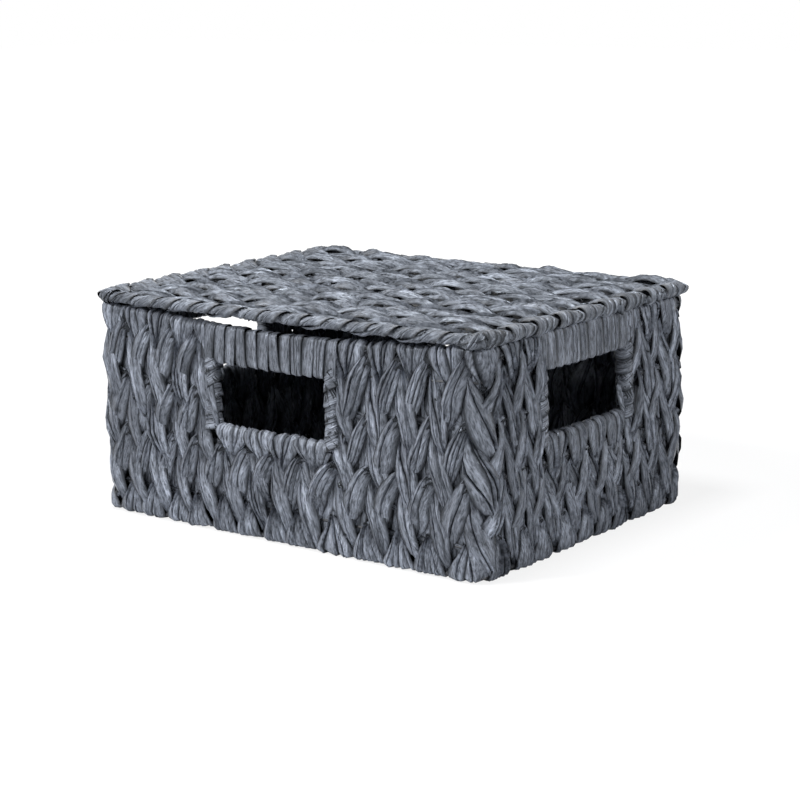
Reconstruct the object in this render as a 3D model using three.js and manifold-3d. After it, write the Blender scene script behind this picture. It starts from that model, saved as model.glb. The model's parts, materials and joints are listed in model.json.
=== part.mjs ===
// A lidded storage basket: raffia ribbon woven over a welded wire frame, with a hand hole in each
// wall and a flat woven lid that swings on two ribbon loops tied round the back rim wire.
// Millimetres, +Z up. The origin is on the floor under the middle of the basket, X runs along the
// long walls and the front is towards -Y.
import * as THREE from "three";
import { mergeVertices } from "three/addons/utils/BufferGeometryUtils.js";
import Module from "manifold-3d";

const wasm = await Module();
wasm.setup();

// Driving dimensions
const basketLength = 330; // outside of the weave, along X
const basketWidth = 252; // outside of the weave, along Y
const rimHeight = 150.6; // floor to the top of the woven rim at the corners
const frontSag = 7; // how far the front rim and its hand hole hang down at their middle
const insideCornerRadius = 2; // of the woven corners, seen from above
const heavyWire = 3; // rim, base ring and lid ring
const lightWire = 2.2; // rows, posts, base wires and lid ribs
const ribbonLayer = 1.9; // ribbon over a wire, on each side
const clearance = 0.3; // between a wire and its ribbon, and between pieces that touch
const barHeight = 18.5; // rim wire down to the wire over a hand hole
const holeWireSpacing = 50.5; // wire over a hand hole down to the wire under it
const holeWidth = 97; // clear width of a hand hole
const holeShift = { front: -7, back: 0, left: -4, right: -5 }; // hole centres, from the wall's middle
const lowerRows = 4; // woven rows from the base ring up to the hand holes
const baseRows = 8; // woven rows across the base
const lidOverhang = 1; // past each end of the basket, along X
const lidCornerRadius = 14;
const lidRows = 16; // woven rows along the lid
const lidColumns = 9; // strands side by side across the lid
const lidGap = 0.5; // the rim's top to the lid's underside
const handleTurns = 9; // turns of ribbon round each handle bar
const turnGap = 0.6; // between two turns of a winding
const edgeRibGap = 0.9; // between a lid rib and the edge winding on each side of it
const loopRow = 2; // the woven row that a hinge loop stands in, counted from each end of the lid
const loopTurns = 3; // turns in each hinge loop
const loopWidth = 16; // width of a hinge loop along the rim
const strandPitch = 24; // about how far apart strands stand along a wall
const gapHalfWidth = 3; // of the gaps between strands in a wall
const gapHalfHeight = 6;
const gapDepth = 3.2;
const gapWall = 0.6; // least ribbon between a gap and a wire's passage
const lidGapHalfLength = 6; // of the openings between strands in the lid, along X
const lidGapHalfWidth = 2.6;
const edgeChamfer = 2; // lower edges of the walls, and their inner top edge
const overcut = 20; // how far a cutter runs past what it cuts

// Facets
const heavySides = 8;
const lightSides = 6;
const cornerSteps = 4; // in a quarter turn of a plan corner
const sagSteps = 12; // along the front wall
const arcSteps = 4; // in the half turn of a winding over a wire

// Insets are measured inwards from the outside of the weave, and heights from the floor
const heavyRadius = heavyWire / 2;
const lightRadius = lightWire / 2;
const heavyCover = heavyRadius + clearance + ribbonLayer;
const lightCover = lightRadius + clearance + ribbonLayer;
const ringInset = heavyCover;
const postInset = ringInset + heavyRadius + clearance + lightRadius;
const rowInset = postInset - 2 * lightRadius - clearance;
const wallThickness = postInset + lightCover;
const cornerRadius = wallThickness + insideCornerRadius;
const rimZ = rimHeight - heavyCover;
const baseZ = heavyCover;
const holeTopZ = rimZ - barHeight;
const holeBottomZ = holeTopZ - holeWireSpacing;
const holeMiddleZ = (holeTopZ + holeBottomZ) / 2;
const lowerPitch = (holeBottomZ - baseZ) / lowerRows;
const holeSillZ = holeBottomZ + lightCover;
const lidBottomZ = rimHeight + lidGap;
const lidZ = lidBottomZ + heavyCover;
const halfLength = basketLength / 2;
const halfWidth = basketWidth / 2;
const lidHalfLength = halfLength + lidOverhang;
const lidHalfWidth = halfWidth;
const ribPitch = (2 * (lidHalfLength - heavyCover)) / lidRows;
const edgeRibbonWidth = ribPitch - lightWire - 2 * edgeRibGap;
const frontEdgeTurns = lidRows - 2; // round the lid's front edge
const backEdgeTurns = lidRows - 2 * loopRow - 1; // round the lid's back edge, between the hinge loops
const loopX = (lidRows / 2 - loopRow + 0.5) * ribPitch; // the middle of its woven row

const finish = {
  wire: new THREE.MeshStandardMaterial({ color: 0x3b3d42, roughness: 0.45, metalness: 0.8 }),
  ribbon: new THREE.MeshStandardMaterial({ color: 0x6d7076, roughness: 0.6, metalness: 0 }),
  lidRibbon: new THREE.MeshStandardMaterial({ color: 0x74777c, roughness: 0.6, metalness: 0 }),
};

// The solid of a closed geometry, for cutting
function solidOf(geometry) {
  const bare = geometry.index ? geometry.toNonIndexed() : geometry.clone();
  const positions = new THREE.BufferGeometry();
  positions.setAttribute("position", bare.getAttribute("position"));
  const merged = mergeVertices(positions, 1e-4);
  const mesh = new wasm.Mesh({
    numProp: 3,
    vertProperties: merged.attributes.position.array,
    triVerts: new Uint32Array(merged.index.array),
  });
  return new wasm.Manifold(mesh);
}

function geometryOf(solid) {
  const mesh = solid.getMesh();
  const geometry = new THREE.BufferGeometry();
  geometry.setAttribute("position", new THREE.BufferAttribute(mesh.vertProperties, 3));
  geometry.setIndex(new THREE.BufferAttribute(mesh.triVerts, 1));
  return geometry;
}

// The geometry with every cutter taken away
function carve(geometry, cutters) {
  return geometryOf(cutters.reduce((left, cutter) => left.subtract(solidOf(cutter)), solidOf(geometry)));
}

// A closed skin over sections of equal point count; a loop of sections has no caps
function skin(sections, loop) {
  const count = sections[0].length;
  const triangles = [];
  const last = loop ? sections.length : sections.length - 1;
  for (let i = 0; i < last; i++) {
    const here = sections[i];
    const next = sections[(i + 1) % sections.length];
    for (let k = 0; k < count; k++) {
      const m = (k + 1) % count;
      triangles.push(here[k], next[k], next[m], here[k], next[m], here[m]);
    }
  }
  if (!loop) {
    const first = sections[0];
    const end = sections[sections.length - 1];
    for (let k = 1; k + 1 < count; k++) {
      triangles.push(first[0], first[k], first[k + 1], end[0], end[k + 1], end[k]);
    }
  }
  let volume = 0;
  for (let i = 0; i < triangles.length; i += 3) {
    volume += triangles[i].dot(new THREE.Vector3().crossVectors(triangles[i + 1], triangles[i + 2]));
  }
  if (volume < 0) triangles.reverse();
  return new THREE.BufferGeometry().setFromPoints(triangles);
}

// A plan corner's arc from one angle to the other, as stations with an outward normal
function arcStations(centreX, centreY, radius, from, to, steps) {
  const stations = [];
  for (let i = 0; i <= steps; i++) {
    const angle = from + ((to - from) * i) / steps;
    const normal = new THREE.Vector2(Math.cos(angle), Math.sin(angle));
    stations.push({ x: centreX + radius * normal.x, y: centreY + radius * normal.y, normal });
  }
  return stations;
}

// The height that the front wall's upper wires lose at x; the corners and the other walls lose none
function sagAt(x, y) {
  const straight = halfLength - cornerRadius;
  if (y > 0 || Math.abs(x) >= straight) return 0;
  return frontSag * Math.cos((Math.PI * x) / (2 * straight));
}

// The corners, each with the angle where its arc starts
const corners = [
  { corner: "front_left", sx: -1, sy: -1, start: Math.PI },
  { corner: "front_right", sx: 1, sy: -1, start: 1.5 * Math.PI },
  { corner: "back_right", sx: 1, sy: 1, start: 0 },
  { corner: "back_left", sx: -1, sy: 1, start: 0.5 * Math.PI },
];

// Stations anticlockwise round a rounded rectangle, starting at the front left corner
function planStations(halfX, halfY, radius, frontSteps) {
  const cx = halfX - radius;
  const cy = halfY - radius;
  const stations = [];
  for (const { corner, sx, sy, start } of corners) {
    stations.push(...arcStations(sx * cx, sy * cy, radius, start, start + Math.PI / 2, cornerSteps));
    for (let i = 1; corner === "front_left" && i < frontSteps; i++) {
      stations.push({ x: -cx + (2 * cx * i) / frontSteps, y: -halfY, normal: new THREE.Vector2(0, -1) });
    }
  }
  return stations;
}

// Round wire sections at stations, standing square to a level path
function wireSections(stations, radius, sides, heightAt) {
  return stations.map(({ x, y, normal }) => {
    const section = [];
    for (let k = 0; k < sides; k++) {
      const angle = (2 * Math.PI * k) / sides;
      const out = radius * Math.cos(angle);
      const up = radius * Math.sin(angle);
      section.push(new THREE.Vector3(x + normal.x * out, y + normal.y * out, heightAt(x, y) + up));
    }
    return section;
  });
}

// A ring of wire inside the walls at an inset and a height, level or sagging along the front
function wallRing(inset, z, radius, sides, sagging) {
  const frontSteps = sagging ? sagSteps : 1;
  const stations = planStations(halfLength - inset, halfWidth - inset, cornerRadius - inset, frontSteps);
  return skin(wireSections(stations, radius, sides, (x, y) => (sagging ? z - sagAt(x, y) : z)), true);
}

// A straight wire between two points; grow widens and lengthens it, for use as a cutter
function straightWire(from, to, radius, sides, grow = 0) {
  const axis = new THREE.Vector3().subVectors(to, from);
  const length = axis.length() + 2 * grow;
  const geometry = new THREE.CylinderGeometry(radius + grow, radius + grow, length, sides);
  const turn = new THREE.Quaternion().setFromUnitVectors(new THREE.Vector3(0, 1, 0), axis.normalize());
  geometry.applyQuaternion(turn);
  const middle = new THREE.Vector3().addVectors(from, to).multiplyScalar(0.5);
  return geometry.translate(middle.x, middle.y, middle.z);
}

// A box between two corners
function block(low, high) {
  const size = new THREE.Vector3().subVectors(high, low);
  const middle = new THREE.Vector3().addVectors(low, high).multiplyScalar(0.5);
  return new THREE.BoxGeometry(size.x, size.y, size.z).translate(middle.x, middle.y, middle.z);
}

// The four walls: where each starts and ends on the plan, and how its hand hole lies
const walls = {
  front: { middleAngle: -Math.PI / 2, half: halfWidth, reach: halfLength },
  right: { middleAngle: 0, half: halfLength, reach: halfWidth },
  back: { middleAngle: Math.PI / 2, half: halfWidth, reach: halfLength },
  left: { middleAngle: Math.PI, half: halfLength, reach: halfWidth },
};

// A point of a wall: along it (towards +X or +Y), in from its outside, and up
function wallPoint(name, along, inset, z) {
  const { middleAngle, half } = walls[name];
  const depth = half - inset;
  const outX = Math.round(Math.cos(middleAngle));
  const outY = Math.round(Math.sin(middleAngle));
  return new THREE.Vector3(outX * depth + Math.abs(outY) * along, outY * depth + Math.abs(outX) * along, z);
}

const group = new THREE.Group();
function add(name, geometry, material) {
  const mesh = new THREE.Mesh(geometry, material.clone());
  mesh.name = name;
  group.add(mesh);
}

// Rings of wire in the walls, each with the cutter that makes room for it in the weave
const rings = {
  rim_wire: [ringInset, rimZ, heavyRadius, heavySides, true],
  hole_top_wire: [rowInset, holeTopZ, lightRadius, lightSides, true],
  hole_bottom_wire: [rowInset, holeBottomZ, lightRadius, lightSides, true],
};
for (let row = lowerRows - 1; row > 0; row--) {
  rings[`row_wire_${row}`] = [rowInset, baseZ + row * lowerPitch, lightRadius, lightSides, false];
}
rings.base_ring_wire = [ringInset, baseZ, heavyRadius, heavySides, false];
const wallCutters = [];
for (const [name, [inset, z, radius, sides, sagging]] of Object.entries(rings)) {
  add(name, wallRing(inset, z, radius, sides, sagging), finish.wire);
  wallCutters.push(wallRing(inset, z, radius + clearance, sides, sagging));
}

// Upright posts: one inside each corner, and one each side of a hand hole
const postReach = holeWidth / 2 + lightCover;
const posts = {};
for (const { corner, sx, sy } of corners) {
  const fromCentre = (cornerRadius - postInset) * Math.SQRT1_2;
  const x = sx * (halfLength - cornerRadius + fromCentre);
  const y = sy * (halfWidth - cornerRadius + fromCentre);
  posts[`corner_post_${corner}`] = [new THREE.Vector3(x, y, baseZ), new THREE.Vector3(x, y, rimZ)];
}
for (const name of Object.keys(walls)) {
  for (const [end, sign] of [["low", -1], ["high", 1]]) {
    const foot = wallPoint(name, holeShift[name] + sign * postReach, postInset, baseZ);
    const head = foot.clone().setZ(rimZ - sagAt(foot.x, foot.y));
    posts[`hole_post_${name}_${end}`] = [foot, head];
  }
}
for (const [name, [foot, head]] of Object.entries(posts)) {
  add(name, straightWire(foot, head, lightRadius, lightSides), finish.wire);
  wallCutters.push(straightWire(foot, head, lightRadius, lightSides, clearance));
}

// The middle row stops at the hand holes, so it is four pieces, each round one corner. Its stations
// run anticlockwise, from a short wall to a long one or the other way round
function middleRowStations({ sx, sy, start }) {
  const radius = cornerRadius - rowInset;
  const cx = halfLength - cornerRadius;
  const cy = halfWidth - cornerRadius;
  const arc = arcStations(sx * cx, sy * cy, radius, start, start + Math.PI / 2, cornerSteps);
  const longWall = sy < 0 ? "front" : "back";
  const shortWall = sx < 0 ? "left" : "right";
  const onLong = wallPoint(longWall, holeShift[longWall] + sx * postReach, rowInset, 0);
  const onShort = wallPoint(shortWall, holeShift[shortWall] + sy * postReach, rowInset, 0);
  const longEnd = { x: onLong.x, y: onLong.y, normal: new THREE.Vector2(0, sy) };
  const shortEnd = { x: onShort.x, y: onShort.y, normal: new THREE.Vector2(sx, 0) };
  return sx === sy ? [shortEnd, ...arc, longEnd] : [longEnd, ...arc, shortEnd];
}
for (const place of corners) {
  const stations = middleRowStations(place);
  const heightAt = (x, y) => holeMiddleZ - sagAt(x, y);
  const wire = (radius) => skin(wireSections(stations, radius, lightSides, heightAt), false);
  add(`middle_row_${place.corner}`, wire(lightRadius), finish.wire);
  wallCutters.push(wire(lightRadius + clearance));
}

// Base wires, butted to the inside of the base ring along X
const basePitch = (basketWidth - 2 * ringInset) / baseRows;
const baseWireEnd = halfLength - ringInset - heavyRadius - clearance;
const baseCutters = [];
for (let row = 1; row < baseRows; row++) {
  const y = -halfWidth + ringInset + row * basePitch;
  const from = new THREE.Vector3(-baseWireEnd, y, baseZ);
  const to = new THREE.Vector3(baseWireEnd, y, baseZ);
  add(`base_wire_${row}`, straightWire(from, to, lightRadius, lightSides), finish.wire);
  baseCutters.push(straightWire(from, to, lightRadius, lightSides, clearance));
}

// A wall's section as [inset, height below or above its edges], rounded over the rim wire
function wallSection(top) {
  const section = [[edgeChamfer, 0], [0, edgeChamfer]];
  const shoulder = top - heavyCover;
  for (let i = 0; i <= arcSteps / 2; i++) {
    const angle = (Math.PI / 2) * (i / (arcSteps / 2));
    section.push([heavyCover * (1 - Math.cos(angle)), shoulder + heavyCover * Math.sin(angle)]);
  }
  section.push([wallThickness - edgeChamfer, top], [wallThickness, top - edgeChamfer]);
  section.push([wallThickness, edgeChamfer], [wallThickness - edgeChamfer, 0]);
  return section;
}

// A woven wall from the middle of one corner to the middle of the next
function wallSolid(name) {
  const { middleAngle, half, reach } = walls[name];
  const out = new THREE.Vector2(Math.cos(middleAngle), Math.sin(middleAngle));
  const along = new THREE.Vector2(-out.y, out.x);
  const place = (side, angle, radius) => {
    const spot = out.clone().multiplyScalar(half - cornerRadius);
    spot.addScaledVector(along, side * (reach - cornerRadius));
    return spot.add(new THREE.Vector2(Math.cos(angle), Math.sin(angle)).multiplyScalar(radius));
  };
  const eighth = Math.PI / 4;
  const cornerHalf = cornerSteps / 2;
  const steps = name === "front" ? sagSteps : 1;
  const stations = [];
  for (let i = 0; i <= cornerHalf; i++) {
    stations.push({ side: -1, angle: middleAngle - eighth * (1 - i / cornerHalf), seam: i === 0 ? 1 : 0 });
  }
  for (let i = 1; i < steps; i++) stations.push({ side: -1 + (2 * i) / steps, angle: middleAngle, seam: 0 });
  for (let i = 0; i <= cornerHalf; i++) {
    stations.push({ side: 1, angle: middleAngle + (eighth * i) / cornerHalf, seam: i === cornerHalf ? -1 : 0 });
  }
  const sections = stations.map(({ side, angle, seam }) => {
    const outside = place(side, angle, cornerRadius);
    return wallSection(rimHeight - sagAt(outside.x, outside.y)).map(([inset, z]) => {
      const radius = cornerRadius - inset;
      const opened = angle + seam * Math.asin(clearance / 2 / radius);
      const spot = place(side, opened, radius);
      return new THREE.Vector3(spot.x, spot.y, z);
    });
  });
  return skin(sections, false);
}

// The hand hole of a wall, open to the top where the handle bar is wound
function holeCutter(name) {
  const sag = name === "front" ? frontSag : 0;
  const low = wallPoint(name, holeShift[name] - holeWidth / 2, -overcut, holeSillZ - sag);
  const high = wallPoint(name, holeShift[name] + holeWidth / 2, wallThickness + overcut, rimHeight + overcut);
  return block(low.clone().min(high), low.clone().max(high));
}

// The room for a hinge loop in the back wall, deep enough for the loop to swing out and down
function loopNotch(sign) {
  const side = loopWidth / 2 + clearance;
  const floorZ = rimZ - heavyCover - 2 * clearance;
  const low = new THREE.Vector3(sign * loopX - side, halfWidth - wallThickness - overcut, floorZ);
  return block(low, new THREE.Vector3(sign * loopX + side, halfWidth + overcut, rimHeight + overcut));
}

// A pin of diamond section that cuts a gap between strands; it lies along Y
function gapPin(halfAlong, halfHeight, length) {
  return new THREE.CylinderGeometry(1, 1, length, 4).scale(halfAlong, 1, halfHeight);
}

// The gaps between strands on a wall's outside: one band of them between each two wires, each band
// half a strand along from the last
const bandWires = [];
for (let row = 0; row <= lowerRows; row++) bandWires.push(baseZ + row * lowerPitch);
bandWires.push(holeMiddleZ, holeTopZ);
function gapCutters(name) {
  const { middleAngle, reach } = walls[name];
  const run = 2 * (reach - cornerRadius);
  const count = Math.round(run / strandPitch);
  const cutters = [];
  for (let band = 0; band + 1 < bandWires.length; band++) {
    for (let strand = band % 2; strand < count; strand++) {
      const along = (run / count) * (strand + (band % 2 ? 0 : 0.5)) - run / 2;
      const besideHole = Math.abs(along - holeShift[name]) > postReach + lightCover + gapHalfWidth;
      if (band >= lowerRows && !besideHole) continue;
      const spot = wallPoint(name, along, 0, 0);
      const sag = sagAt(spot.x, spot.y);
      const low = bandWires[band] - (band < lowerRows ? 0 : sag);
      const high = bandWires[band + 1] - (band + 1 < lowerRows ? 0 : sag);
      const room = (high - low) / 2 - heavyRadius - clearance - gapWall;
      const pin = gapPin(gapHalfWidth, Math.min(gapHalfHeight, room), 2 * gapDepth);
      cutters.push(pin.rotateZ(middleAngle + Math.PI / 2).translate(spot.x, spot.y, (low + high) / 2));
    }
  }
  return cutters;
}

for (const name of Object.keys(walls)) {
  const notches = name === "back" ? [loopNotch(-1), loopNotch(1)] : [];
  const cutters = [...wallCutters, ...baseCutters, holeCutter(name), ...notches, ...gapCutters(name)];
  add(`${name}_wall_weave`, carve(wallSolid(name), cutters), finish.ribbon);
}

// A rounded rectangle, for flat panels
function panelShape(halfX, halfY, radius) {
  const shape = new THREE.Shape();
  const quarter = Math.PI / 2;
  shape.absarc(halfX - radius, halfY - radius, radius, 0, quarter);
  shape.absarc(radius - halfX, halfY - radius, radius, quarter, 2 * quarter);
  shape.absarc(radius - halfX, radius - halfY, radius, 2 * quarter, 3 * quarter);
  shape.absarc(halfX - radius, radius - halfY, radius, 3 * quarter, 4 * quarter);
  return shape;
}

// The woven base fills the space between the walls
function baseSolid() {
  const inset = wallThickness + clearance;
  const shape = panelShape(halfLength - inset, halfWidth - inset, cornerRadius - wallThickness);
  const depth = 2 * lightCover;
  const panel = new THREE.ExtrudeGeometry(shape, { depth, bevelEnabled: false, curveSegments: 2 });
  return panel.translate(0, 0, baseZ - lightCover);
}
add("base_weave", carve(baseSolid(), baseCutters), finish.ribbon);

// The lid's wire ring, and its ribs butted to the inside of it along Y
function lidRing(radius) {
  const inset = heavyCover;
  const stations = planStations(lidHalfLength - inset, lidHalfWidth - inset, lidCornerRadius - inset, 1);
  return skin(wireSections(stations, radius, heavySides, () => lidZ), true);
}
add("lid_ring_wire", lidRing(heavyRadius), finish.wire);
const lidCutters = [lidRing(heavyRadius + clearance)];
const ribEnd = lidHalfWidth - heavyCover - heavyRadius - clearance;
for (let rib = 1; rib < lidRows; rib++) {
  const x = (rib - lidRows / 2) * ribPitch;
  const from = new THREE.Vector3(x, -ribEnd, lidZ);
  const to = new THREE.Vector3(x, ribEnd, lidZ);
  add(`lid_rib_${rib}`, straightWire(from, to, lightRadius, lightSides), finish.wire);
  lidCutters.push(straightWire(from, to, lightRadius, lightSides, clearance));
}

// The woven lid has round edges. Its long edges stop short of the ring, where a ribbon is wound instead
const frontStripReach = (frontEdgeTurns * ribPitch + edgeRibbonWidth) / 2 + clearance;
const backStripReach = loopX + loopWidth / 2 + clearance;
function edgeStrip(sign, reach) {
  const inner = sign * (lidHalfWidth - 2 * heavyCover - clearance);
  const outer = sign * (lidHalfWidth + overcut);
  const low = new THREE.Vector3(-reach, Math.min(inner, outer), lidBottomZ - overcut);
  return block(low, new THREE.Vector3(reach, Math.max(inner, outer), lidZ + overcut));
}
function lidSolid() {
  const core = heavyCover / 4;
  const rounding = heavyCover - core / 2;
  const shape = panelShape(lidHalfLength - rounding, lidHalfWidth - rounding, lidCornerRadius - rounding);
  const panel = new THREE.ExtrudeGeometry(shape, {
    depth: core,
    bevelThickness: rounding,
    bevelSize: rounding,
    bevelSegments: 2,
    curveSegments: 3,
  });
  return panel.translate(0, 0, lidZ - core / 2);
}
// Openings between the lid's strands: one in every second row, between each two strands, and those
// beside it in the rows between
const lidOpenings = [];
const columnPitch = (2 * (lidHalfWidth - heavyCover)) / lidColumns;
for (let column = 1; column < lidColumns; column++) {
  for (let row = column % 2; row < lidRows; row += 2) {
    const x = (row + 0.5 - lidRows / 2) * ribPitch;
    const y = (column - lidColumns / 2) * columnPitch;
    const pin = gapPin(lidGapHalfLength, lidGapHalfWidth, 4 * heavyCover);
    lidOpenings.push(pin.rotateX(Math.PI / 2).translate(x, y, lidZ));
  }
}
const lidStrips = [edgeStrip(-1, frontStripReach), edgeStrip(1, backStripReach)];
add("lid_weave", carve(lidSolid(), [...lidCutters, ...lidStrips, ...lidOpenings]), finish.lidRibbon);

// A ribbon wound round one wire or two: sections along a helix whose turns pass over the upper wire
// and under the lower one. Each turn starts on the outside of the wall, or at the share of it given
// as phase, and moves along as the advance function says, from 0 to 1 in a turn.
function winding({ turns, ribbonWidth, from, pitch, upper, lower, place, phase = 0, advance = (t) => t }) {
  const around = upper === lower ? 2 * arcSteps : 2 * arcSteps + 2;
  const start = Math.round(phase * around);
  const sections = [];
  for (let i = 0; i <= turns * around; i++) {
    const step = (i + start) % around;
    const onUpper = step <= arcSteps;
    const angle = (Math.PI * (onUpper || upper === lower ? step : step - 1)) / arcSteps;
    const share = (n) => Math.floor(n / around) + advance((n % around) / around);
    const along = from + pitch * (share(i + start) - share(start));
    const wire = onUpper ? upper : lower;
    const centre = wire.at(along);
    const inner = wire.radius + clearance;
    const outer = inner + ribbonLayer;
    const corner = (radius, side) => {
      const inset = centre.inset - radius * Math.cos(angle);
      return place(along + (side * ribbonWidth) / 2, inset, centre.z + radius * Math.sin(angle));
    };
    sections.push([corner(inner, -1), corner(inner, 1), corner(outer, 1), corner(outer, -1)]);
  }
  return { geometry: skin(sections, false), sections, around };
}

// The least distance from a winding's turn to the next, measured on the section corners
function turnSpace(wound) {
  let least = Infinity;
  for (let i = 0; i + wound.around < wound.sections.length; i++) {
    const next = wound.sections[i + wound.around];
    for (const a of wound.sections[i]) {
      for (const b of next) least = Math.min(least, a.distanceTo(b));
    }
  }
  return least;
}
function addWinding(name, wound, material) {
  console.log(`${name}: least gap between turns ${turnSpace(wound).toFixed(2)} mm`);
  add(name, wound.geometry, material);
}

// Handle bars: ribbon wound round the rim wire and the wire over the hand hole
for (const name of Object.keys(walls)) {
  const pitch = (holeWidth - 2 * clearance + turnGap) / (handleTurns + 1);
  const sag = (along) => {
    const spot = wallPoint(name, along, ringInset, 0);
    return sagAt(spot.x, spot.y);
  };
  const wound = winding({
    turns: handleTurns,
    ribbonWidth: pitch - turnGap,
    from: holeShift[name] - (handleTurns * pitch) / 2,
    pitch,
    upper: { radius: heavyRadius, at: (along) => ({ inset: ringInset, z: rimZ - sag(along) }) },
    lower: { radius: lightRadius, at: (along) => ({ inset: rowInset, z: holeTopZ - sag(along) }) },
    place: (along, inset, z) => wallPoint(name, along, inset, z),
  });
  addWinding(`handle_wrap_${name}`, wound, finish.ribbon);
}

// Lid edges: ribbon wound round the ring wire. It moves along on the outside only, so that on the
// inside each turn passes between two ribs
function edgeWinding(name, turns, phase) {
  const wire = { radius: heavyRadius, at: () => ({ inset: heavyCover, z: lidZ }) };
  return winding({
    turns,
    ribbonWidth: edgeRibbonWidth,
    from: (-turns * ribPitch) / 2,
    pitch: ribPitch,
    upper: wire,
    lower: wire,
    place: (along, inset, z) => wallPoint(name, along, inset, z),
    phase,
    advance: (t) => (t < 0.25 ? 2 * t : t > 0.75 ? 2 * t - 1 : 0.5),
  });
}
addWinding("lid_edge_wrap_front", edgeWinding("front", frontEdgeTurns, 0), finish.lidRibbon);
addWinding("lid_edge_wrap_back", edgeWinding("back", backEdgeTurns, 0.5), finish.lidRibbon);

// Hinge loops: ribbon wound round the rim wire and the lid's ring wire. They turn on the rim wire
for (const [side, sign] of [["left", -1], ["right", 1]]) {
  const pitch = (loopWidth + turnGap) / (loopTurns + 1);
  const wound = winding({
    turns: loopTurns,
    ribbonWidth: pitch - turnGap,
    from: sign * loopX - (loopTurns * pitch) / 2,
    pitch,
    upper: { radius: heavyRadius, at: () => ({ inset: heavyCover, z: lidZ }) },
    lower: { radius: heavyRadius, at: () => ({ inset: ringInset, z: rimZ }) },
    place: (along, inset, z) => wallPoint("back", along, inset, z),
  });
  addWinding(`hinge_loop_${side}`, wound, finish.lidRibbon);
}

export default group;
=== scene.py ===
import json
import math
import random

import bpy
from mathutils import Euler, Matrix, Vector

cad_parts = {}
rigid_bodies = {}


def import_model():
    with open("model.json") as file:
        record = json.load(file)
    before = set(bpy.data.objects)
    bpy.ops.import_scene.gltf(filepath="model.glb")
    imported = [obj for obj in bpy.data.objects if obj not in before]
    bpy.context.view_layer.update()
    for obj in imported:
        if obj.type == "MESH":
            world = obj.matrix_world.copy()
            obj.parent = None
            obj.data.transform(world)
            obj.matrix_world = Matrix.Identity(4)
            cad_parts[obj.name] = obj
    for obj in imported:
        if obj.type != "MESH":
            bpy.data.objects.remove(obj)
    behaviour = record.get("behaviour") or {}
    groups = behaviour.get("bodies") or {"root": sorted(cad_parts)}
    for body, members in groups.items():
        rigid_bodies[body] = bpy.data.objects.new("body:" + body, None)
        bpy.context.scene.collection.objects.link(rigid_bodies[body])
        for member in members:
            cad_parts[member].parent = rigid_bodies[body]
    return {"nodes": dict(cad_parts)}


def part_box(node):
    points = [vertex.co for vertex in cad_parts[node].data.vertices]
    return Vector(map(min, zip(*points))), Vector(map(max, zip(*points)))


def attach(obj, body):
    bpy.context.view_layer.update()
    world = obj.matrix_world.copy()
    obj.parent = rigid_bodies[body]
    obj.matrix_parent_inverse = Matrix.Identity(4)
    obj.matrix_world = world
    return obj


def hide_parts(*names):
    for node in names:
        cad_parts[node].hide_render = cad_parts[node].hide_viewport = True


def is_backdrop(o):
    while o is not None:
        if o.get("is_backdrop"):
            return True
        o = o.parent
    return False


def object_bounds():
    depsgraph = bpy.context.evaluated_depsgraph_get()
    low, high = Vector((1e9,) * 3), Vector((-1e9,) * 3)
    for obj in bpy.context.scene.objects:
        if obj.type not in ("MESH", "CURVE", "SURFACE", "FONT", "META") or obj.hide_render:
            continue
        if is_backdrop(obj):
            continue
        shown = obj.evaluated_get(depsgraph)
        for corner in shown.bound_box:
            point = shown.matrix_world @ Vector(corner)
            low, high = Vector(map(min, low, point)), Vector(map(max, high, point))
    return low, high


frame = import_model()
cad_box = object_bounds()
nodes = frame["nodes"]

# The view: a long lens a little above the lid, turned to the front right corner, over a plain
# white floor. The lamps are small soft boxes: one overhead, one in front on the left, and a weaker
# one on the right.
eye = Vector((0.8614, -1.1179, 0.3868))
aim = Vector((0.0, 0.0, 0.075))
roll = math.radians(-0.88)
lens = bpy.data.cameras.new("photo lens")
lens.sensor_width = 36.0
lens.lens = 91.5
lens.shift_x = 0.00825
lens.shift_y = 0.00275
camera = bpy.data.objects.new("camera", lens)
forward = (aim - eye).normalized()
level = forward.cross(Vector((0, 0, 1))).normalized()
upward = level.cross(forward)
across = level * math.cos(roll) + upward * math.sin(roll)
upright = upward * math.cos(roll) - level * math.sin(roll)
camera.matrix_world = Matrix.Translation(eye) @ Matrix((across, upright, -forward)).transposed().to_4x4()
bpy.context.scene.collection.objects.link(camera)
bpy.context.scene.camera = camera
bpy.context.scene.view_settings.view_transform = "Standard"


def soft_box(name, place, aimed_at, width, watts):
    """A square lamp that looks from its place at a point."""
    light = bpy.data.lights.new(name, "AREA")
    light.size = width
    light.energy = watts
    lamp = bpy.data.objects.new(name, light)
    turn = (Vector(aimed_at) - Vector(place)).to_track_quat("-Z", "Y")
    lamp.matrix_world = Matrix.Translation(place) @ turn.to_matrix().to_4x4()
    bpy.context.scene.collection.objects.link(lamp)


soft_box("overhead soft box", (0.0, -0.35, 1.5), (0, 0, 0.1), 0.35, 18.0)
soft_box("front soft box", (-0.6, -1.2, 1.25), (0, 0, 0.08), 0.25, 20.5)
soft_box("right soft box", (1.45, -0.4, 1.05), (0, 0, 0.08), 0.25, 9.8)


def joined(tree, wanted, links):
    """Makes the named shader nodes of a tree and joins their sockets."""
    made = {}
    for name, (kind, values) in wanted.items():
        node = tree.nodes.new(kind)
        node.name = name
        for key, value in values.items():
            if isinstance(key, int) or key in node.inputs:
                node.inputs[key].default_value = value
            else:
                setattr(node, key, value)
        made[name] = node
    for start, out, end, into in links:
        tree.links.new(made[start].outputs[out], made[end].inputs[into])
    return made


def maths(operation, values=None):
    """A Math node, for joined."""
    return ("ShaderNodeMath", {"operation": operation, **(values or {})})


def vector_maths(operation, values=None):
    """A Vector Math node, for joined."""
    return ("ShaderNodeVectorMath", {"operation": operation, **(values or {})})


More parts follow.
